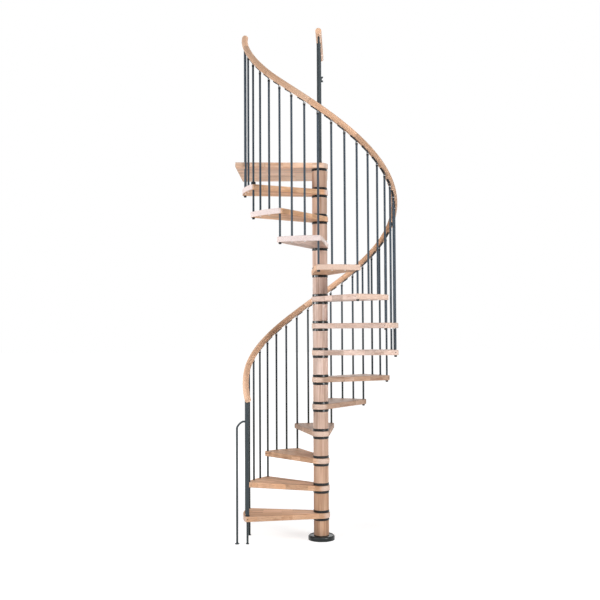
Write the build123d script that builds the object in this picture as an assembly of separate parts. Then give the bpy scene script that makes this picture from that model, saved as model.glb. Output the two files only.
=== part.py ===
from build123d import *
from math import acos, atan2, cos, degrees, radians, sin, tan
import os

os.makedirs("parts", exist_ok=True)

# Driving dimensions, in millimetres and degrees
# Stair layout: the climb turns clockwise seen from above
rise = 210.0
tread_count = 13
step_turn = 28.7
newel_angle = 196.0
bars_per_tread = 3
bar_circle = 587.0

# Column
base_radius = 103.0
base_thick = 36.0
base_edge_round = 14.0
base_dish_depth = 3.0
base_rim = 17.0
base_bolt_circle = 74.0
base_bolt_radius = 5.5
base_bolt_count = 4
pole_radius = 24.15
pole_wall = 5.0
pole_socket_depth = 20.0
spacer_radius = 59.0
ring_radius = 62.0
ring_high = 20.0
ring_edge = 3.0
fit_gap = 0.3

# Treads and landing
tread_thick = 40.0
hub_radius = 67.0
corner_radius = 23.0
bar_seat_depth = 15.0
set_screw_radius = 4.0
edge_ease = 3.0
landing_side = 69.0
landing_back = 540.0
landing_skew_angle = 4.0

# Bars
bar_radius = 8.0
nut_radius = 11.0
nut_high = 14.0
nut_edge = 3.0
foot_radius = 12.5
foot_high = 6.0
newel_radius = 14.0

# Starter brace
brace_reach = 79.0
brace_bend = 48.0
brace_height = 930.0
brace_foot_radius = 17.0

# Handrail
rail_radius = 24.0
rail_flat = 22.0
rail_stand_height = 940.0
rail_start_angle = -3.0
rail_first_joint_angle = 26.3
rail_piece_angle = 33.3
rail_joint_count = 11
rail_end_angle = 377.2
rail_drop_angle = 28.0
rail_start_drop = 34.0
rail_lift_angle = 60.0
rail_end_lift = 50.0
rail_end_ease = 1.5
rail_station_count = 6
bracket_length = 56.0
bracket_lead = 12.0
bracket_wide = 15.0
bracket_thick = 6.0

# Landing guard
guard_plan_angle = 1.5
guard_rail_height = 1045.0
guard_front_overhang = 70.0
guard_back_overhang = 102.0
guard_bar_count = 5
guard_bar_pitch = 98.0
guard_sleeve_radius = 16.5
guard_sleeve_drop = 58.0
guard_socket_radius = 20.0
guard_socket_high = 26.0
clip_drop = 224.0
clip_high = 46.0
clip_slot = 20.0
clip_reach = 15.0
clip_back = 5.0
clip_wide = 14.0

# One overrun for every cut
overrun = 50.0

# Derived sizes
bar_turn = step_turn / bars_per_tread
outer_radius = bar_circle + corner_radius
landing_level = (tread_count + 1) * rise
landing_left = bar_circle + landing_side
pole_bore = pole_radius + fit_gap
bar_bore = bar_radius + fit_gap
climb_per_degree = rise / step_turn
side_lean_angle = degrees(acos((hub_radius - corner_radius) / bar_circle))
ring_cover = tread_thick + ring_high
full_turn = 360
quarter_turn = 90
nearby_angle = 0.01


def heading(turn):
    """Plan direction of a point reached after climbing through this turn."""
    return newel_angle - turn


def plan(direction, radius):
    angle = radians(direction)
    return Vector(radius * cos(angle), radius * sin(angle), 0)


def smooth_share(share):
    """Goes gently from 0 to 1 as the share does, and stays there beyond."""
    held = min(1, max(0, share))
    return held**2 * (3 - 2 * held)


def rail_height(turn):
    """Height of the handrail's centre line: an even climb that dips at its foot and lifts at its top."""
    even_climb = rise + rail_stand_height + climb_per_degree * turn
    drop = rail_start_drop * smooth_share(1 - (turn - rail_start_angle) / rail_drop_angle)
    lift = rail_end_lift * smooth_share(1 - (rail_end_angle - turn) / rail_lift_angle)
    return even_climb - drop + lift


def rail_slope(turn):
    """Slope of the handrail in degrees, from its heights close by."""
    climb = rail_height(turn + nearby_angle) - rail_height(turn - nearby_angle)
    return degrees(atan2(climb, radians(2 * nearby_angle) * bar_circle))


def rail_place(turn):
    """Frame on the handrail's centre line: X outward, Y up off the rail, Z along the climb."""
    direction = radians(heading(turn))
    slope = radians(rail_slope(turn))
    along = Vector(sin(direction) * cos(slope), -cos(direction) * cos(slope), sin(slope))
    at = plan(heading(turn), bar_circle) + Vector(0, 0, rail_height(turn))
    return Plane(origin=at, x_dir=plan(heading(turn), 1), z_dir=along)


def save(solids, name):
    listed = solids if isinstance(solids, list) else [solids]
    shape = listed[0] if len(listed) == 1 else Compound(children=listed)
    export_step(shape, "parts/" + name + ".step")


def upright(radius, low, high):
    return Pos(0, 0, low) * Cylinder(radius, high - low, align=(Align.CENTER, Align.CENTER, Align.MIN))


def column_ring(low, radius, high):
    return upright(radius, low, low + high) - upright(pole_bore, low - overrun, low + high + overrun)


# Base plate with a dished top, bolt holes and a socket for the pole
base = upright(base_radius, 0, base_thick)
base = fillet(base.edges().group_by(Axis.Z)[-1], base_edge_round)
dish = upright(base_radius - base_rim, base_thick - base_dish_depth, base_thick + overrun)
seat = upright(spacer_radius, base_thick - base_dish_depth - overrun, base_thick)
base = base - (dish - seat)
base = base - upright(pole_bore, base_thick - pole_socket_depth, base_thick + overrun)
for bolt in range(base_bolt_count):
    turn = (bolt + 1 / 2) * full_turn / base_bolt_count
    bolt_hole = upright(base_bolt_radius, -overrun, base_thick + overrun)
    base = base - Pos(plan(turn, base_bolt_circle)) * bolt_hole
save(base, "base_plate")

# Pole inside the column
pole_foot = base_thick - pole_socket_depth
pole = upright(pole_radius, pole_foot, landing_level)
pole = pole - upright(pole_radius - pole_wall, pole_foot - overrun, landing_level + overrun)
save(pole, "centre_pole")

# Rings above and below each tread, and spacers between the rings
rings = []
spacers = []
for level in range(1, tread_count + 2):
    ring_tops = [level * rise - tread_thick]
    if level <= tread_count:
        ring_tops.append(level * rise + ring_high)
    for top in ring_tops:
        ring = column_ring(top - ring_high, ring_radius, ring_high)
        rims = ring.edges().filter_by(GeomType.CIRCLE).group_by(SortBy.RADIUS)[-1]
        rings.append(chamfer(rims, ring_edge))
    spacer_low = base_thick if level == 1 else (level - 1) * rise + ring_high
    spacers.append(column_ring(spacer_low, spacer_radius, level * rise - ring_cover - spacer_low))
save(rings, "column_rings")
save(spacers, "column_spacers")


def tread_outline():
    """Wedge round the column, its corners concentric with the bars; nosing at turn 0."""
    front, back = heading(0), heading(step_turn)
    middle = (front + back) / 2
    front_out, back_out = front + side_lean_angle, back - side_lean_angle
    front_corner, back_corner = plan(front, bar_circle), plan(back, bar_circle)
    hub_front, hub_back = plan(front_out, hub_radius), plan(back_out, hub_radius)
    front_edge = front_corner + plan(front_out, corner_radius)
    back_edge = back_corner + plan(back_out, corner_radius)
    front_tip, back_tip = plan(front, outer_radius), plan(back, outer_radius)
    front_turn = front_corner + plan((front + front_out) / 2, corner_radius)
    back_turn = back_corner + plan((back + back_out) / 2, corner_radius)
    return make_face(
        [
            Line(hub_front, front_edge),
            ThreePointArc(front_edge, front_turn, front_tip),
            ThreePointArc(front_tip, plan(middle, outer_radius), back_tip),
            ThreePointArc(back_tip, back_turn, back_edge),
            Line(back_edge, hub_back),
            ThreePointArc(hub_back, plan(middle, -hub_radius), hub_front),
        ]
    )


def eased(board):
    """Takes the sharpness off the long edges of a board."""
    top_and_bottom = board.edges().group_by(Axis.Z)
    return chamfer(top_and_bottom[-1] + top_and_bottom[0], edge_ease)


def bar_at(turn, radius, low, high):
    return Pos(plan(heading(turn), bar_circle)) * upright(radius, low, high)


# Treads: bars pass through both outer corners, held by set screws in the side faces,
# and two more bars stand on each tread between them
plank = eased(extrude(tread_outline(), -tread_thick))
plank = plank - upright(pole_bore, -tread_thick - overrun, overrun)
for turn in (0, step_turn):
    plank = plank - bar_at(turn, bar_bore, -tread_thick - overrun, overrun)
for turn, out in ((0, heading(0) + side_lean_angle), (step_turn, heading(step_turn) - side_lean_angle)):
    bar_middle = plan(heading(turn), bar_circle) - Vector(0, 0, tread_thick / 2)
    screw_plane = Plane(origin=bar_middle, z_dir=plan(out, 1))
    plank = plank - screw_plane * upright(set_screw_radius, 0, corner_radius + overrun)
for between in range(1, bars_per_tread):
    plank = plank - bar_at(between * bar_turn, bar_bore, -bar_seat_depth, overrun)
for level in range(1, tread_count + 1):
    place = Pos(0, 0, level * rise) * Rot(0, 0, -(level - 1) * step_turn)
    save(place * plank, f"tread_{level:02d}")

# Landing: its slightly skewed front edge runs on from the round of the column's hub
edge_facing = landing_skew_angle - quarter_turn
hub_front = plan(edge_facing, hub_radius)
landing_skew = (landing_left + hub_front.X) * tan(radians(landing_skew_angle))
landing_front_left = Vector(-landing_left, hub_front.Y - landing_skew, 0)
landing_face = make_face(
    [
        Line(landing_front_left, hub_front),
        ThreePointArc(hub_front, plan(edge_facing / 2, hub_radius), Vector(hub_radius, 0, 0)),
        Line(Vector(hub_radius, 0, 0), Vector(hub_radius, landing_back, 0)),
        Line(Vector(hub_radius, landing_back, 0), Vector(-landing_left, landing_back, 0)),
        Line(Vector(-landing_left, landing_back, 0), landing_front_left),
    ]
)
landing = eased(extrude(landing_face, -tread_thick))
landing = landing - upright(pole_bore, -tread_thick - overrun, overrun)
landing = landing - bar_at(tread_count * step_turn, bar_bore, -tread_thick - overrun, overrun)
guard_direction = quarter_turn - guard_plan_angle
for number in range(1, guard_bar_count + 1):
    at = plan(guard_direction, number * guard_bar_pitch)
    landing = landing - Pos(at) * upright(bar_bore, -bar_seat_depth, overrun)
save(Pos(0, 0, landing_level) * landing, "landing")


def top_cut(turn, below):
    """Everything above the plane lying this far under the handrail's centre line."""
    reach = overrun + bar_circle
    block = Box(reach, reach, reach, align=(Align.CENTER, Align.MIN, Align.CENTER))
    return rail_place(turn).location * Pos(0, -below, 0) * block


bracket_seat = rail_flat + fit_gap
bracket_under = bracket_seat + bracket_thick + fit_gap


def bar_to_rail(turn, radius, low):
    """A bar from this level up to the bracket under the handrail."""
    bar = bar_at(turn, radius, low, rail_height(turn))
    return bar - top_cut(turn, bracket_under)


# Long bars tie the back corner of one tread to the front corner of the next
long_bars = []
nuts = []
for level in range(1, tread_count + 1):
    turn = level * step_turn
    bar_low = foot_high
    if level > 1:
        bar_low = level * rise - tread_thick - nut_high / 2
        nut = bar_at(turn, nut_radius, level * rise - tread_thick - nut_high, level * rise - tread_thick)
        nut = chamfer(nut.edges().group_by(Axis.Z)[0], nut_edge)
        nuts.append(nut - bar_at(turn, bar_radius, bar_low, level * rise))
    long_bars.append(bar_to_rail(turn, bar_radius, bar_low))
save(long_bars, "long_bars")
save(nuts, "bar_nuts")

# Short bars stand in seats in the treads
short_bars = []
for level in range(1, tread_count + 1):
    for between in range(1, bars_per_tread):
        turn = (level - 1) * step_turn + between * bar_turn
        short_bars.append(bar_to_rail(turn, bar_radius, level * rise - bar_seat_depth))
save(short_bars, "short_bars")

# Newel: a stout tube over the first tread and a thin leg through it to the floor
newel = bar_to_rail(0, newel_radius, rise) + bar_at(0, bar_radius, foot_high, rise + overrun)
save(newel, "newel_post")
feet = [bar_at(turn, foot_radius, 0, foot_high) for turn in (0, step_turn)]
save(feet, "leg_feet")

# Bent brace from the floor to the newel, coped to the newel's side
newel_at = plan(heading(0), bar_circle)
brace_x = newel_at.X - brace_reach
brace_path = Wire(
    [
        Line(Vector(brace_x, newel_at.Y, 0), Vector(brace_x, newel_at.Y, brace_height - brace_bend)),
        RadiusArc(
            Vector(brace_x, newel_at.Y, brace_height - brace_bend),
            Vector(brace_x + brace_bend, newel_at.Y, brace_height),
            brace_bend,
        ),
        Line(
            Vector(brace_x + brace_bend, newel_at.Y, brace_height),
            Vector(newel_at.X, newel_at.Y, brace_height),
        ),
    ]
)
brace_section = Plane(origin=(brace_x, newel_at.Y, 0), z_dir=(0, 0, 1)) * Circle(bar_radius)
brace = sweep(brace_section, path=brace_path)
brace = brace - bar_at(0, newel_radius, 0, rail_height(0))
brace_foot = Pos(brace_x, newel_at.Y, 0) * upright(brace_foot_radius, 0, foot_high)
save(brace + brace_foot, "starter_brace")


def rail_loft(low_turn, high_turn, section):
    """A length of handrail or bracket, lofted through sections set square to the climb."""
    shares = [number / rail_station_count for number in range(rail_station_count + 1)]
    turns = [low_turn + share * (high_turn - low_turn) for share in shares]
    return loft([rail_place(turn) * section for turn in turns])


def ends_eased(rail):
    """Takes the sharpness off both ends of a length of rail."""
    ends = rail.faces().filter_by(GeomType.PLANE).sort_by(SortBy.AREA)[:2]
    return chamfer([edge for end in ends for edge in end.edges()], rail_end_ease)


# Handrail: round pieces with a flat underneath, butted end to end with eased edges
under_flat = Pos(0, -rail_flat) * Rectangle(
    2 * rail_radius, rail_radius, align=(Align.CENTER, Align.MAX)
)
rail_section = Circle(rail_radius) - under_flat
joint_turns = [rail_first_joint_angle + number * rail_piece_angle for number in range(rail_joint_count)]
end_turns = [rail_start_angle, *joint_turns, rail_end_angle]
for number in range(rail_joint_count + 1):
    piece = rail_loft(end_turns[number], end_turns[number + 1], rail_section)
    save(ends_eased(piece), f"handrail_{number + 1:02d}")

# Flat brackets under the handrail at each bar, reaching uphill
bracket_section = Pos(0, -bracket_seat - bracket_thick) * Rectangle(
    bracket_wide, bracket_thick, align=(Align.CENTER, Align.MIN)
)
brackets = []
for number in range(tread_count * bars_per_tread + 1):
    turn = number * bar_turn
    turn_per_length = degrees(cos(radians(rail_slope(turn))) / bar_circle)
    low_turn = turn - bracket_lead * turn_per_length
    brackets.append(rail_loft(low_turn, low_turn + bracket_length * turn_per_length, bracket_section))
save(brackets, "rail_brackets")

# Landing guard: a sleeved post over the pole, bars in line behind it and a straight rail
guard_rail_level = landing_level + guard_rail_height
guard_bar_top = guard_rail_level - rail_flat - fit_gap
post = upright(bar_radius, landing_level, guard_bar_top)
post = post + upright(guard_sleeve_radius, landing_level, guard_bar_top - guard_sleeve_drop)
post = post + upright(guard_socket_radius, landing_level, landing_level + guard_socket_high)
save(post, "guard_post")
guard_bars = []
for number in range(1, guard_bar_count + 1):
    at = plan(guard_direction, number * guard_bar_pitch)
    guard_bars.append(Pos(at) * upright(bar_radius, landing_level - bar_seat_depth, guard_bar_top))
save(guard_bars, "guard_bars")
guard_start = plan(guard_direction, -guard_front_overhang) + Vector(0, 0, guard_rail_level)
guard_length = guard_front_overhang + landing_back + guard_back_overhang
guard_plane = Plane(
    origin=guard_start, x_dir=plan(guard_direction + quarter_turn, 1), z_dir=plan(guard_direction, 1)
)
save(ends_eased(extrude(guard_plane * rail_section, guard_length)), "guard_rail")

# Two-pronged clip on the side of the last guard bar
last_bar_at = plan(guard_direction, guard_bar_count * guard_bar_pitch)
clip_level = guard_rail_level - clip_drop
from_bar = (Align.MIN, Align.CENTER, Align.CENTER)
clip = Box(bar_radius + clip_reach, clip_wide, clip_high, align=from_bar)
slot = Box(clip_reach, clip_wide + overrun, clip_slot, align=from_bar)
clip = clip - Pos(bar_radius + clip_back, 0, 0) * slot
clip = clip - upright(bar_bore, -overrun, overrun)
save(Pos(last_bar_at) * Pos(0, 0, clip_level) * clip, "guard_clip")
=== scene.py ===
import math

import bpy
from mathutils import Matrix, Vector


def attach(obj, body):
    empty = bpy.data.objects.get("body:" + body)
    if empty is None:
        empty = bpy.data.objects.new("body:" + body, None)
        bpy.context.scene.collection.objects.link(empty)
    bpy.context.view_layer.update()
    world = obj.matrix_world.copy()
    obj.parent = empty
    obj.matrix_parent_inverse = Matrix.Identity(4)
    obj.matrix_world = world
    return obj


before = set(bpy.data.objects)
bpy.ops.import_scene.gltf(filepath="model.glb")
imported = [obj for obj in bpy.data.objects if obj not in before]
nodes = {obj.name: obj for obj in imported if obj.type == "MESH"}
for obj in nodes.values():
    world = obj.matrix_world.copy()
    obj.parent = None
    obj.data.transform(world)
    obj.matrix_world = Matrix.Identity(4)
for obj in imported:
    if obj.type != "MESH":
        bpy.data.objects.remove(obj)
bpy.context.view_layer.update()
scene = bpy.context.scene
scene.view_settings.view_transform = "Standard"

# Stair layout, in metres and degrees, as in the frame
RISE = 0.210
TREAD_COUNT = 13
STEP_TURN = 28.7
BARS_PER_TREAD = 3
BAR_TURN = STEP_TURN / BARS_PER_TREAD
NEWEL_ANGLE = 196.0
BAR_CIRCLE = 0.587
BAR_RADIUS = 0.008
NEWEL_RADIUS = 0.014
TREAD_THICK = 0.040
HUB_RADIUS = 0.067
CORNER_RADIUS = 0.023
SIDE_LEAN = math.acos((HUB_RADIUS - CORNER_RADIUS) / BAR_CIRCLE)
BOLT_CIRCLE = 0.074
BOLT_COUNT = 4
DISH_FLOOR = 0.033

# Handrail: turns are degrees climbed from the newel
RAIL_RADIUS = 0.024
RAIL_FLAT = 0.022
RAIL_STAND_HEIGHT = 0.940
RAIL_START = -3.0
RAIL_END = 377.2
RAIL_DROP_TURN = 28.0
RAIL_DROP = 0.034
RAIL_LIFT_TURN = 60.0
RAIL_LIFT = 0.050
FIRST_JOINT = 26.3
PIECE_TURN = 33.3
SEAM_HALF_WIDTH = 0.0012
SEAM_INSET = 0.0005
SLOPE_STEP = 0.01

# Rail brackets: depth of the underside below the rail's centre line, and the screws uphill of each bar
BRACKET_UNDER = 0.0286
BRACKET_SCREWS_UPHILL = (0.020, 0.036)
BRACKET_SCREW_SINK = 0.0003

# Rings round a bar or post: inner and outer radius, low and high end, eased edge
BAR_SLEEVE = (BAR_RADIUS, 0.0093, -0.025, -0.0105, 0.001)
BAR_WASHER = (BAR_RADIUS, 0.0096, -0.0105, -0.0075, 0.0005)
NEWEL_COLLAR = (NEWEL_RADIUS, 0.0175, 0.0, 0.010, 0.0015)
LAST_BAR_COLLAR = (BAR_RADIUS, 0.018, 0.0, 0.020, 0.002)

# Screws: radius, low and high end, radius of the socket
BRACKET_SCREW = (0.0045, -0.001, 0.0026, 0.0018)
SET_SCREW = (0.0038, 0.0095, 0.018, 0.0020)
SHORT_BAR_HEAD = (0.0065, -0.001, 0.004, 0.0025)
BASE_BOLT = (0.0053, -0.025, -0.001, 0.003)
SCREW_EASE = 0.0005

# Facets and shading of the small pieces
TURNED_SIDES = 24
SEAM_SIDES = 48
SHARP_ANGLE = math.radians(35)

# Camera: place, lens and turn in the photo's square frame
CAMERA_PLACE = Vector((0.0, -6.8268, 1.6173))
CAMERA_YAW = math.radians(-1.3312)
CAMERA_PITCH = math.radians(2.0804)
CAMERA_ROLL = math.radians(-0.2915)
CAMERA_REACH = 200.0
FOCAL_PIXELS = 867.39
FRAME_PIXELS = 600
SENSOR_MM = 36.0

# Stage: the floor's reach and greys, its glow by distance from the column, and the world's light
FLOOR_REACH = 60.0
FLOOR_GREY = (0.8, 0.8, 0.8, 1)
FLOOR_SEEN_GREY = (0.45, 0.45, 0.45, 1)
GLOW_DISTANCES = (1.2, 4.0)
GLOW_STRENGTHS = (0.70, 1.0)
WORLD_LIGHT = 0.14

# Square lamps: place, height of the point on the column that each is aimed at, size, watts
LAMPS = {
    "left_light": ((-4.1, -0.7, 2.1), 1.9, 0.9, 106),
    "left_front_light": ((-3.0, -3.0, 2.2), 1.8, 1.6, 56),
    "high_light": ((2.4, -3.6, 4.8), 1.6, 1.8, 76),
    "top_light": ((0.8, -2.4, 7.0), 2.0, 2.0, 84),
    "right_front_light": ((3.1, -3.1, 1.2), 1.0, 1.6, 108),
    "back_light": ((0.6, 4.4, 3.4), 2.0, 2.0, 70),
}

WHITE = (1, 1, 1, 1)
BLACK = (0, 0, 0, 1)

# Beech tones, each a pale, a warm and a dark one
BOARD_TONES = ((0.78, 0.51, 0.345, 1), (0.62, 0.355, 0.21, 1), (0.32, 0.150, 0.075, 1))
# Rosy tones: beech whitened as a painted sheen
ROSY_SHEEN_TONES = ((0.74, 0.585, 0.515, 1), (0.62, 0.45, 0.375, 1), (0.38, 0.23, 0.165, 1))
AMBER_TONES = ((0.86, 0.56, 0.36, 1), (0.70, 0.39, 0.22, 1), (0.42, 0.195, 0.090, 1))
LANDING_TONES = ((0.90, 0.68, 0.54, 1), (0.78, 0.50, 0.34, 1), (0.50, 0.25, 0.13, 1))
RAIL_TONES = ((0.82, 0.56, 0.40, 1), (0.66, 0.39, 0.24, 1), (0.42, 0.195, 0.09, 1))
# Umber tones: darker beech, partly painted shade
UMBER_SHADE_TONES = ((0.57, 0.40, 0.31, 1), (0.44, 0.280, 0.19, 1), (0.24, 0.120, 0.070, 1))
COLUMN_TONES = ((0.60, 0.40, 0.28, 1), (0.47, 0.280, 0.18, 1), (0.26, 0.120, 0.065, 1))
# Column tones whitened towards rosy, partly as painted light
ROSY_COLUMN_PAINTED_LIGHT_TONES = ((0.76, 0.61, 0.545, 1), (0.61, 0.44, 0.365, 1), (0.33, 0.18, 0.12, 1))

# End grain: a pale tone and its speckle
WOODY_ENDS = ((0.68, 0.51, 0.42, 1), (0.48, 0.32, 0.24, 1))
WHITE_ENDS = ((0.78, 0.67, 0.65, 1), (0.48, 0.37, 0.34, 1))
WOODY_END_TOP = 10
SPECKLE_SCALE = 420.0
SPECKLE_STRETCH = (1, 1, 0.45)

# The last level of each batch of treads, with its tones. The batches partly paint light and shade: the
# rosy tones whiten treads 7 to 9 and 11 as a painted sheen on their front faces, and the umber tones on
# treads 4 to 6 and the board tones on tread 10 are partly painted shade
TREAD_TONES = (
    (3, BOARD_TONES),
    (6, UMBER_SHADE_TONES),
    (9, ROSY_SHEEN_TONES),
    (10, BOARD_TONES),
    (11, ROSY_SHEEN_TONES),
    (TREAD_COUNT, AMBER_TONES),
)

# Staves glued into boards
STAVE_LENGTH = 0.23
STAVE_WIDTH = 0.042
STAVE_SHIFT = 0.013
STAVE_OFFSET_SHARE = 0.37
STAVE_SHADES = (0.78, 1.12)
STAVE_SEEDS = 9.0
GLUE_LINE = 0.0004
GLUE_GREY = (0.1, 0.1, 0.1, 1)
TREAD_SEED_STEP = 0.61
LANDING_SEED = 0.2

# Staves glued into the column's blocks
COLUMN_STAVE_WIDTH = 0.022
COLUMN_STAVE_SHADES = (0.84, 1.10)
COLUMN_STAVE_SEEDS = 40.0
COLUMN_GLUE_SHARE = 0.45
BLOCK_TURN = 1.13

# Wood finish: streaks and fineness of the fibre, roughness, bump strength and depth, gloss
BOARD_STREAKS = 0.65
BOARD_FINENESS = 150
BOARD_BUMP = (0.12, 0.0006)
BOARD_GLOSS = 0.04
RAIL_STREAKS = 0.30
RAIL_FINENESS = 60
RAIL_BUMP = (0.10, 0.0005)
RAIL_GLOSS = 0.08
WOOD_ROUGHNESS = (0.40, 0.52)

# Tone of each handrail piece from the foot up, and the seeds of the rails' grain; pieces 7 and 8 are
# darker partly as wood tone and partly as painted shade
PIECE_TONES_WITH_PAINTED_SHADE = (0.90, 0.94, 0.80, 0.97, 0.96, 0.95, 0.68, 0.66, 0.90, 0.78, 0.76, 1.08)
PIECE_SEED_STEP = 1.9
GUARD_RAIL_SEED = 6.0

# Paint of the bars, and the heights between which it pales: the paler upper bars are painted light,
# standing in for the brighter light that falls there
BAR_DARK = (0.015, 0.020, 0.021, 1)
BAR_PAINTED_LIGHT = (0.042, 0.058, 0.076, 1)
BAR_PAINTED_LIGHT_HEIGHTS = (0.9, 1.9)
BAR_PAINTED_LIGHT_DRIFT = 0.1
BAR_ROUGHNESS = (0.38, 0.46)
BAR_GLOSS = 0.22

# Coats: bump strength and depth, then dark and pale tone, roughness from and to, gloss, metalness
COAT_BUMP = (0.05, 0.0002)
COATS = {
    "post_grey": ((0.030, 0.041, 0.047, 1), (0.037, 0.049, 0.056, 1), (0.38, 0.46), 0.25, 0.0),
    "fitting_black": ((0.016, 0.018, 0.020, 1), (0.026, 0.028, 0.030, 1), (0.35, 0.45), 0.2, 0.0),
    "bracket_grey": ((0.026, 0.026, 0.027, 1), (0.040, 0.040, 0.041, 1), (0.40, 0.50), 0.2, 0.0),
    "bright_steel": ((0.62, 0.62, 0.63, 1), (0.70, 0.70, 0.71, 1), (0.25, 0.35), 0.5, 0.8),
    "base_paint": ((0.010, 0.014, 0.014, 1), (0.016, 0.020, 0.020, 1), (0.18, 0.24), 0.3, 0.0),
    "pole_steel": ((0.30, 0.30, 0.31, 1), (0.36, 0.36, 0.37, 1), (0.30, 0.40), 0.5, 0.8),
    "ring_black": ((0.005, 0.006, 0.006, 1), (0.008, 0.009, 0.009, 1), (0.13, 0.18), 0.36, 0.0),
    "seam_brown": ((0.070, 0.035, 0.018, 1), (0.110, 0.060, 0.030, 1), (0.50, 0.60), 0.2, 0.0),
}


def heading(turn):
    """Plan angle, in radians, reached after climbing through this many degrees."""
    return math.radians(NEWEL_ANGLE - turn)


def plan(angle, radius, height=0.0):
    return Vector((radius * math.cos(angle), radius * math.sin(angle), height))


def smooth(share):
    held = min(1.0, max(0.0, share))
    return held**2 * (3 - 2 * held)


def rail_height(turn):
    """Height of the handrail's centre line: it dips at its foot and lifts at its top."""
    even_climb = RISE + RAIL_STAND_HEIGHT + RISE * turn / STEP_TURN
    drop = RAIL_DROP * smooth(1 - (turn - RAIL_START) / RAIL_DROP_TURN)
    lift = RAIL_LIFT * smooth(1 - (RAIL_END - turn) / RAIL_LIFT_TURN)
    return even_climb - drop + lift


def rail_slope(turn):
    climb = rail_height(turn + SLOPE_STEP) - rail_height(turn - SLOPE_STEP)
    return math.atan2(climb, math.radians(2 * SLOPE_STEP) * BAR_CIRCLE)


def rail_frame(turn):
    """Place on the rail's centre line: X outward, Y up off the rail, Z along the climb."""
    slope = rail_slope(turn)
    outward = plan(heading(turn), 1)
    level = plan(heading(turn) - math.pi / 2, 1)
    along = math.cos(slope) * level + Vector((0, 0, math.sin(slope)))
    axes = Matrix((outward, along.cross(outward), along)).transposed()
    return Matrix.Translation(plan(heading(turn), BAR_CIRCLE, rail_height(turn))) @ axes.to_4x4()


class Tree:
    """Adds and links the nodes of one shader."""

    def __init__(self, tree):
        self.tree = tree

    def add(self, kind, settings=None, **inputs):
        """Adds a node; an input, named or i and its number, is a constant or another node's output."""
        node = self.tree.nodes.new(kind)
        for key, value in (settings or {}).items():
            setattr(node, key, value)
        for key, value in inputs.items():
            number = key[1:]
            socket = int(number) if number.isdigit() else key.replace("_", " ")
            self.feed(value, node.inputs[socket])
        return node

    def feed(self, value, socket):
        if isinstance(value, bpy.types.NodeSocket):
            self.tree.links.new(value, socket)
        else:
            socket.default_value = value

    def math(self, operation, first, second=0.0):
        return self.add("ShaderNodeMath", {"operation": operation}, i0=first, i1=second).outputs[0]

    def mix(self, share, first, second, blend="MIX"):
        node = self.add("ShaderNodeMix", {"data_type": "RGBA", "blend_type": blend}, Factor=share)
        self.feed(first, node.inputs[6])
        self.feed(second, node.inputs[7])
        return node.outputs[2]

    def ramp(self, value, low, high, low_value=0.0, high_value=1.0):
        """Held straight line from the low value at low to the high value at high."""
        ends = {"From_Min": low, "From_Max": high, "To_Min": low_value, "To_Max": high_value}
        return self.add("ShaderNodeMapRange", None, Value=value, **ends).outputs[0]

    def place(self):
        return self.add("ShaderNodeTexCoord").outputs["Object"]

    def split(self, vector):
        return self.add("ShaderNodeSeparateXYZ", None, Vector=vector).outputs

    def join(self, across, along, up):
        return self.add("ShaderNodeCombineXYZ", None, X=across, Y=along, Z=up).outputs[0]

    def length(self, vector):
        node = self.add("ShaderNodeVectorMath", {"operation": "LENGTH"}, i0=vector)
        return node.outputs["Value"]

    def mapped(self, vector, scale=(1, 1, 1), turn=0.0, shift=(0, 0, 0)):
        node = self.add("ShaderNodeMapping", None, Vector=vector, Scale=scale, Location=shift)
        node.inputs["Rotation"].default_value = (0, 0, turn)
        return node.outputs[0]

    def noise(self, vector, scale, detail=3.0, roughness=0.5, seed=0.0):
        look = {"Scale": scale, "Detail": detail, "Roughness": roughness, "W": seed}
        node = self.add("ShaderNodeTexNoise", {"noise_dimensions": "4D"}, Vector=vector, **look)
        return node.outputs[0]

    def direct_view(self):
        """One where the ray comes from the camera, a mirror-like surface or glass."""
        path = self.add("ShaderNodeLightPath").outputs
        mirrored = self.math("MAXIMUM", path["Is Glossy Ray"], path["Is Transmission Ray"])
        return self.math("MAXIMUM", path["Is Camera Ray"], mirrored)


class Skin(Tree):
    """One procedural material."""

    def __init__(self, name, **constants):
        self.material = bpy.data.materials.new(name)
        self.material.use_nodes = True
        super().__init__(self.material.node_tree)
        self.surface = self.tree.nodes["Principled BSDF"]
        for socket, value in constants.items():
            self.surface.inputs[socket.replace("_", " ")].default_value = value

    def finish(self, colour, roughness, height, bump, depth):
        self.feed(colour, self.surface.inputs["Base Color"])
        self.feed(roughness, self.surface.inputs["Roughness"])
        node = self.add("ShaderNodeBump", None, Strength=bump, Distance=depth, Height=height)
        self.feed(node.outputs[0], self.surface.inputs["Normal"])
        return self.material


def grained(skin, along, seed, tones, streaks=BOARD_STREAKS, fineness=BOARD_FINENESS):
    """Beech colour, roughness and bump from coordinates whose X runs with the grain."""

    def layer(lengthwise, across, detail, roughness=0.5):
        stretched = skin.mapped(along, (lengthwise, across, across))
        return skin.noise(stretched, 1.0, detail, roughness, seed)

    pale, warm, dark = tones
    drift = layer(lengthwise=1.2, across=9, detail=3.0)
    fibre = layer(lengthwise=5, across=fineness, detail=5.0, roughness=0.6)
    fleck = layer(lengthwise=120, across=700, detail=2.0)
    band = layer(lengthwise=2.2, across=48, detail=2.0)
    body = skin.mix(skin.ramp(drift, 0.32, 0.68), pale, warm)
    banded = skin.mix(skin.ramp(band, 0.50, 0.72, 0.0, 0.9 * streaks), body, dark)
    streaked = skin.mix(skin.ramp(fibre, 0.48, 0.75, 0.0, streaks), banded, dark)
    flecked = skin.mix(skin.ramp(fleck, 0.60, 0.75, 0.0, 0.5 * streaks), streaked, dark)
    return flecked, skin.ramp(fibre, 0.3, 0.7, *WOOD_ROUGHNESS), fibre


def shaded(skin, colour, pick, shades):
    """Colour times a grey between two shades, by a pick from zero to one."""
    shade = skin.ramp(pick, 0.0, 1.0, *shades)
    grey = skin.add("ShaderNodeCombineColor", None, Red=shade, Green=shade, Blue=shade)
    return skin.mix(1.0, colour, grey.outputs[0], "MULTIPLY")


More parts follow.
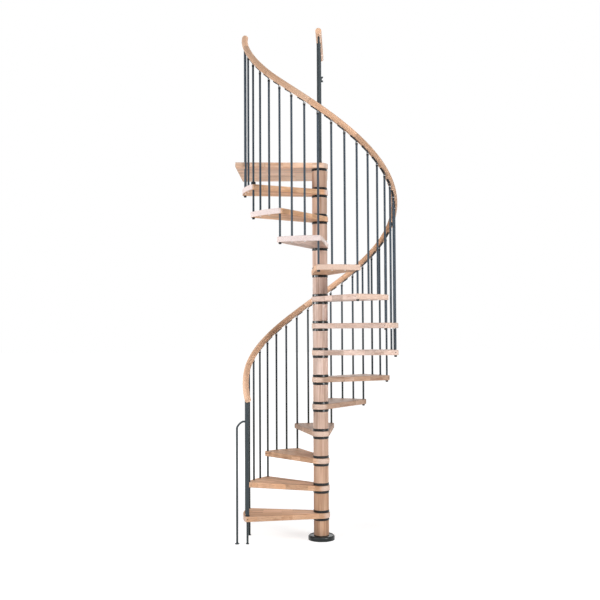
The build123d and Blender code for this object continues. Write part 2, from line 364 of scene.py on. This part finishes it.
def tread_wood(name, angle, seed, tones, ends):
    """Board of butted, glued staves along the plan angle given, with pale speckled end grain."""
    skin = Skin(name, Specular_IOR_Level=BOARD_GLOSS)
    place = skin.place()
    along = skin.mapped(place, turn=-angle)
    staves = skin.add(
        "ShaderNodeTexBrick",
        {"offset": STAVE_OFFSET_SHARE, "offset_frequency": 2, "squash": 1.0},
        Vector=skin.mapped(along, shift=(seed, STAVE_SHIFT, 0)),
        Color1=BLACK,
        Color2=WHITE,
        Mortar=GLUE_GREY,
        Scale=1.0,
        Mortar_Size=GLUE_LINE,
        Mortar_Smooth=0.2,
        Bias=0.0,
        Brick_Width=STAVE_LENGTH,
        Row_Height=STAVE_WIDTH,
    )
    pick = skin.add("ShaderNodeSeparateColor", None, Color=staves.outputs[0]).outputs[0]
    colour, rough, fibre = grained(skin, along, skin.math("MULTIPLY", pick, STAVE_SEEDS), tones)
    toned = shaded(skin, colour, pick, STAVE_SHADES)
    normal = skin.add("ShaderNodeTexCoord").outputs["Normal"]
    grain_way = plan(angle, 1)
    facing = skin.add("ShaderNodeVectorMath", {"operation": "DOT_PRODUCT"}, i0=normal, i1=grain_way)
    end_share = skin.ramp(skin.math("ABSOLUTE", facing.outputs["Value"]), 0.20, 0.70)
    speckle = skin.noise(skin.mapped(place, SPECKLE_STRETCH), SPECKLE_SCALE, 3.0, 0.7, seed)
    end_grain = skin.mix(skin.ramp(speckle, 0.45, 0.70), *ends)
    return skin.finish(skin.mix(end_share, toned, end_grain), rough, fibre, *BOARD_BUMP)


def column_wood(name):
    """Spacers turned from upright glued staves; each level is cut from its own block. The spacers pale
    to rosy from level 1 to 6 and warm again at the top: partly wood tone, partly painted light where
    more light falls mid-way up.
    """
    skin = Skin(name, Specular_IOR_Level=BOARD_GLOSS)
    place = skin.place()
    level = skin.math("FLOOR", skin.math("DIVIDE", skin.split(place)[2], RISE))
    spun = skin.add(
        "ShaderNodeVectorRotate",
        {"rotation_type": "Z_AXIS"},
        Vector=place,
        Angle=skin.math("MULTIPLY", level, BLOCK_TURN),
    )
    across, back, height = skin.split(spun.outputs[0])
    share = skin.math("ADD", skin.math("DIVIDE", across, COLUMN_STAVE_WIDTH), 0.5)
    stave = skin.join(skin.math("FLOOR", share), level, 0.0)
    picker = skin.add("ShaderNodeTexWhiteNoise", {"noise_dimensions": "2D"}, Vector=stave)
    pick = picker.outputs["Value"]
    grain = skin.join(height, across, back)
    seed = skin.math("MULTIPLY", pick, COLUMN_STAVE_SEEDS)
    warm, rough, fibre = grained(skin, grain, seed, COLUMN_TONES)
    rosy_painted_light = grained(skin, grain, seed, ROSY_COLUMN_PAINTED_LIGHT_TONES)[0]
    # painted light, in part: paler and rosier going up, warmer again at the top where less light falls
    painted_light_rising = skin.ramp(level, 1.0, 6.0)
    painted_light_fading_at_top = skin.ramp(level, 9.0, 12.0, 1.0, 0.4)
    colour = skin.mix(skin.math("MULTIPLY", painted_light_rising, painted_light_fading_at_top), warm, rosy_painted_light)
    toned = shaded(skin, colour, pick, COLUMN_STAVE_SHADES)
    from_joint = skin.math("ABSOLUTE", skin.math("SUBTRACT", skin.math("FRACT", share), 0.5))
    glue_line = skin.ramp(from_joint, 0.47, 0.495, 0.0, COLUMN_GLUE_SHARE)
    return skin.finish(skin.mix(glue_line, toned, BOARD_TONES[2]), rough, fibre, *BOARD_BUMP)


def finish_rail(skin, along, seed, shade=1.0):
    # the shade factor darkens a whole piece: partly wood tone, partly painted shade on the darker pieces
    tones = [(*(shade * part for part in colour[:3]), 1) for colour in RAIL_TONES]
    colour, rough, fibre = grained(skin, along, seed, tones, RAIL_STREAKS, RAIL_FINENESS)
    return skin.finish(colour, rough, fibre, *RAIL_BUMP)


def rail_wood(name, seed, shade):
    """Wood whose grain follows the climbing rail."""
    skin = Skin(name, Specular_IOR_Level=RAIL_GLOSS)
    seam = heading(FIRST_JOINT)
    across, back, height = skin.split(skin.mapped(skin.place(), turn=math.pi - seam))
    angle = skin.math("ARCTAN2", back, across)
    climb = skin.math("MULTIPLY", angle, RISE / math.radians(STEP_TURN))
    round_column = skin.math("MULTIPLY", angle, BAR_CIRCLE)
    radius = skin.length(skin.join(across, back, 0.0))
    along = skin.join(round_column, radius, skin.math("ADD", height, climb))
    return finish_rail(skin, along, seed, shade)


def straight_rail_wood(name):
    """Wood whose grain runs along Y."""
    skin = Skin(name, Specular_IOR_Level=RAIL_GLOSS)
    return finish_rail(skin, skin.mapped(skin.place(), turn=-math.pi / 2), GUARD_RAIL_SEED)


def coat_noise(skin):
    """Slow drifts over a coat, and its very fine skin."""
    place = skin.place()
    cloud = skin.noise(place, scale=9.0, detail=4.0, roughness=0.6, seed=1.0)
    fine = skin.noise(place, scale=1800.0, detail=2.0, roughness=0.5, seed=2.0)
    return cloud, fine


def coated(name, dark, pale, roughness, gloss, metal):
    """Coated metal or moulded plastic: slight drifts of tone and roughness over a very fine skin."""
    skin = Skin(name, Specular_IOR_Level=gloss, Metallic=metal)
    cloud, fine = coat_noise(skin)
    colour = skin.mix(skin.ramp(cloud, 0.35, 0.65), dark, pale)
    return skin.finish(colour, skin.ramp(cloud, 0.3, 0.7, *roughness), fine, *COAT_BUMP)


def bar_paint(name):
    """Dark paint that pales a little towards the upper bars; the paling is painted light."""
    skin = Skin(name, Specular_IOR_Level=BAR_GLOSS)
    cloud, fine = coat_noise(skin)
    drift = skin.ramp(cloud, 0.3, 0.7, -BAR_PAINTED_LIGHT_DRIFT, BAR_PAINTED_LIGHT_DRIFT)
    height = skin.math("ADD", skin.split(skin.place())[2], drift)
    # painted light: the bars' colour pales with height, from the dark tone low down to the paler one up
    # high
    colour = skin.mix(skin.ramp(height, *BAR_PAINTED_LIGHT_HEIGHTS), BAR_DARK, BAR_PAINTED_LIGHT)
    return skin.finish(colour, skin.ramp(cloud, 0.3, 0.7, *BAR_ROUGHNESS), fine, *COAT_BUMP)


def dress(material, *names):
    for name in names:
        mesh = nodes[name].data
        mesh.materials.clear()
        mesh.materials.append(material)


coats = {name: coated(name, *look) for name, look in COATS.items()}

for level in range(1, TREAD_COUNT + 1):
    middle = heading((level - 0.5) * STEP_TURN)
    tones = next(tones for top, tones in TREAD_TONES if level <= top)
    ends = WOODY_ENDS if level <= WOODY_END_TOP else WHITE_ENDS
    wood = tread_wood(f"tread_wood_{level:02d}", middle, TREAD_SEED_STEP * level, tones, ends)
    dress(wood, f"tread_{level:02d}")
dress(tread_wood("landing_wood", 0.0, LANDING_SEED, LANDING_TONES, WOODY_ENDS), "landing")
dress(column_wood("column_wood"), "column_spacers")
rail_names = sorted(name for name in nodes if name.startswith("handrail_"))
for number, name in enumerate(rail_names):
    dress(rail_wood(f"rail_wood_{number + 1:02d}", PIECE_SEED_STEP * number, PIECE_TONES_WITH_PAINTED_SHADE[number]), name)
dress(straight_rail_wood("guard_rail_wood"), "guard_rail")
dress(bar_paint("bar_grey"), "long_bars", "short_bars", "leg_feet")
dress(coats["post_grey"], "newel_post", "starter_brace", "guard_bars", "guard_post", "guard_clip")
dress(coats["ring_black"], "column_rings")
dress(coats["base_paint"], "base_plate")
dress(coats["pole_steel"], "centre_pole")
dress(coats["bracket_grey"], "rail_brackets")
dress(coats["fitting_black"], "bar_nuts")


def reach(radius, angle, six_sided=False):
    """Distance from the axis: even on a circle, greater towards a hexagon's corners."""
    sixth = math.pi / 3
    return radius / math.cos((angle + sixth / 2) % sixth - sixth / 2) if six_sided else radius


def turned(outline, sides=TURNED_SIDES, looped=False):
    """Points and faces of an outline turned about Z.

    A row of the outline is a radius, a height and, where it is six-sided, True.
    """
    angles = [math.tau * side / sides for side in range(sides)]
    points = []
    for radius, height, *shape in outline:
        points += [plan(angle, reach(radius, angle, *shape), height) for angle in angles]
    rows = len(outline)
    faces = []
    for row in range(rows if looped else rows - 1):
        low, high = row * sides, (row + 1) % rows * sides
        for side in range(sides):
            beside = (side + 1) % sides
            faces.append((low + side, low + beside, high + beside, high + side))
    if not looped:
        faces.append(tuple(reversed(range(sides))))
        faces.append(tuple(range((rows - 1) * sides, rows * sides)))
    return points, faces


def add_piece(name, material, shape, places):
    """One object made of a shape repeated at these places."""
    points, faces = shape
    all_points = [place @ Vector(point) for place in places for point in points]
    starts = [number * len(points) for number in range(len(places))]
    all_faces = [tuple(start + corner for corner in face) for start in starts for face in faces]
    mesh = bpy.data.meshes.new(name)
    mesh.from_pydata(all_points, [], all_faces)
    mesh.materials.append(coats[material])
    mesh.shade_smooth()
    mesh.set_sharp_from_angle(angle=SHARP_ANGLE)
    piece = bpy.data.objects.new(name, mesh)
    scene.collection.objects.link(piece)
    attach(piece, "root")


def socket_screw(radius, low, high, socket):
    """Round screw with an eased top and a six-sided socket as deep as the socket's radius."""
    side = [(radius, low), (radius, high - SCREW_EASE), (radius - SCREW_EASE, high)]
    return turned([*side, (socket, high, True), (socket, high - socket, True)])


def tube(inner, outer, low, high, ease):
    """Ring round Z with its outer edges eased."""
    foot = [(inner, low), (outer - ease, low), (outer, low + ease)]
    head = [(outer, high - ease), (outer - ease, high), (inner, high)]
    return turned([*foot, *head], looped=True)


def upright_at(turn, height):
    return Matrix.Translation(plan(heading(turn), BAR_CIRCLE, height))


def under_bracket(turn):
    """Place on a bar's axis, level with the underside of its rail bracket."""
    return upright_at(turn, rail_height(turn) - BRACKET_UNDER / math.cos(rail_slope(turn)))


# Bar tops: a dark sleeve with a bright washer above it
bar_turns = [number * BAR_TURN for number in range(1, TREAD_COUNT * BARS_PER_TREAD + 1)]
bar_tops = [under_bracket(turn) for turn in bar_turns]
add_piece("bar_sleeves", "fitting_black", tube(*BAR_SLEEVE), bar_tops)
add_piece("bar_washers", "bright_steel", tube(*BAR_WASHER), bar_tops)

# Screws under the rail brackets, uphill of the newel and of each bar
bracket_face = Matrix.Translation((0, BRACKET_SCREW_SINK - BRACKET_UNDER, 0))
down_off_rail = bracket_face @ Matrix.Rotation(math.pi / 2, 4, "X")
bracket_screws = []
for turn in [0.0, *bar_turns]:
    turn_per_length = math.degrees(math.cos(rail_slope(turn)) / BAR_CIRCLE)
    for uphill in BRACKET_SCREWS_UPHILL:
        bracket_screws.append(rail_frame(turn + uphill * turn_per_length) @ down_off_rail)
add_piece("bracket_screws", "fitting_black", socket_screw(*BRACKET_SCREW), bracket_screws)

# Set screws in the side faces of the treads, and heads under the short bars
set_screws = []
short_bar_heads = []
for level in range(1, TREAD_COUNT + 1):
    first = (level - 1) * STEP_TURN
    for turn, lean in ((first, SIDE_LEAN), (first + STEP_TURN, -SIDE_LEAN)):
        out = plan(heading(turn) + lean, 1).to_track_quat("Z", "Y").to_matrix().to_4x4()
        set_screws.append(upright_at(turn, level * RISE - TREAD_THICK / 2) @ out)
    for between in range(1, BARS_PER_TREAD):
        under = upright_at(first + between * BAR_TURN, level * RISE - TREAD_THICK)
        short_bar_heads.append(under @ Matrix.Rotation(math.pi, 4, "X"))
add_piece("set_screws", "fitting_black", socket_screw(*SET_SCREW), set_screws)
add_piece("short_bar_heads", "bright_steel", socket_screw(*SHORT_BAR_HEAD), short_bar_heads)

# Bolts in the base plate
base_bolts = []
for bolt in range(BOLT_COUNT):
    angle = (bolt + 0.5) * math.tau / BOLT_COUNT
    base_bolts.append(Matrix.Translation(plan(angle, BOLT_CIRCLE, DISH_FLOOR)))
add_piece("base_bolts", "fitting_black", socket_screw(*BASE_BOLT), base_bolts)

# Collars where the newel meets the first tread and where the last long bar leaves the last tread
newel_foot = [upright_at(0, RISE)]
add_piece("newel_collar", "fitting_black", tube(*NEWEL_COLLAR), newel_foot)
last_corner = [upright_at((TREAD_COUNT - 1) * STEP_TURN, TREAD_COUNT * RISE)]
add_piece("last_bar_collar", "fitting_black", tube(*LAST_BAR_COLLAR), last_corner)


def rail_seam(half, inset):
    """Thin dark ring that fills the groove of a rail joint, flat underneath like the rail."""
    outer, inner, flat = RAIL_RADIUS - inset, RAIL_RADIUS - 3 * inset, RAIL_FLAT - inset
    section = [(inner, -half), (outer, -half), (outer, half), (inner, half)]
    points, faces = turned(section, SEAM_SIDES, looped=True)
    return [(across, max(up, -flat), along) for across, up, along in points], faces


joints = [rail_frame(FIRST_JOINT + number * PIECE_TURN) for number in range(len(rail_names) - 1)]
add_piece("rail_seams", "seam_brown", rail_seam(SEAM_HALF_WIDTH, SEAM_INSET), joints)


def stage_floor():
    """Wide pale floor that shows the object's shadow and runs into the white behind it."""
    mesh = bpy.data.meshes.new("floor")
    ends = (-FLOOR_REACH, FLOOR_REACH)
    mesh.from_pydata([(across, back, 0) for back in ends for across in ends], [], [(0, 1, 3, 2)])
    floor = bpy.data.objects.new("floor", mesh)
    scene.collection.objects.link(floor)
    skin = Skin("floor_white")
    plain = skin.add("ShaderNodeBsdfDiffuse", None, Color=FLOOR_GREY).outputs[0]
    seen = skin.add("ShaderNodeBsdfDiffuse", None, Color=FLOOR_SEEN_GREY).outputs[0]
    strength = skin.ramp(skin.length(skin.place()), *GLOW_DISTANCES, *GLOW_STRENGTHS)
    glow = skin.add("ShaderNodeEmission", None, Color=WHITE, Strength=strength).outputs[0]
    both = skin.add("ShaderNodeAddShader", None, i0=seen, i1=glow).outputs[0]
    shown = skin.add("ShaderNodeMixShader", None, i0=skin.direct_view(), i1=plain, i2=both)
    skin.tree.nodes.remove(skin.surface)
    skin.feed(shown.outputs[0], skin.tree.nodes["Material Output"].inputs["Surface"])
    mesh.materials.append(skin.material)


def white_world():
    """Even white surroundings: full white to look at, softer as light."""
    world = bpy.data.worlds.new("studio")
    scene.world = world
    world.use_nodes = True
    tree = Tree(world.node_tree)
    background = world.node_tree.nodes["Background"]
    background.inputs["Color"].default_value = WHITE
    tree.feed(tree.ramp(tree.direct_view(), 0.0, 1.0, WORLD_LIGHT, 1.0), background.inputs["Strength"])


def softbox(name, place, aim_height, size, watts):
    """Square lamp aimed at a point on the column."""
    light = bpy.data.lights.new(name, "AREA")
    light.shape = "SQUARE"
    light.size = size
    light.energy = watts
    lamp = bpy.data.objects.new(name, light)
    lamp.location = place
    lamp.rotation_mode = "QUATERNION"
    lamp.rotation_quaternion = (Vector((0, 0, aim_height)) - Vector(place)).to_track_quat("-Z", "Y")
    scene.collection.objects.link(lamp)


def photo_camera():
    """Camera at the photograph's place, with its lens and small roll."""
    ahead = plan(math.pi / 2 - CAMERA_YAW, math.cos(CAMERA_PITCH), math.sin(CAMERA_PITCH))
    level_right = plan(-CAMERA_YAW, 1)
    level_up = level_right.cross(ahead)
    right = math.cos(CAMERA_ROLL) * level_right + math.sin(CAMERA_ROLL) * level_up
    up = math.cos(CAMERA_ROLL) * level_up - math.sin(CAMERA_ROLL) * level_right
    data = bpy.data.cameras.new("photo_camera")
    data.sensor_fit = "HORIZONTAL"
    data.sensor_width = SENSOR_MM
    data.lens = FOCAL_PIXELS / FRAME_PIXELS * SENSOR_MM
    data.clip_end = CAMERA_REACH
    camera = bpy.data.objects.new("photo_camera", data)
    axes = Matrix((right, up, -ahead)).transposed()
    camera.matrix_world = Matrix.Translation(CAMERA_PLACE) @ axes.to_4x4()
    scene.collection.objects.link(camera)
    scene.camera = camera


stage_floor()
white_world()
for name, look in LAMPS.items():
    softbox(name, *look)
photo_camera()
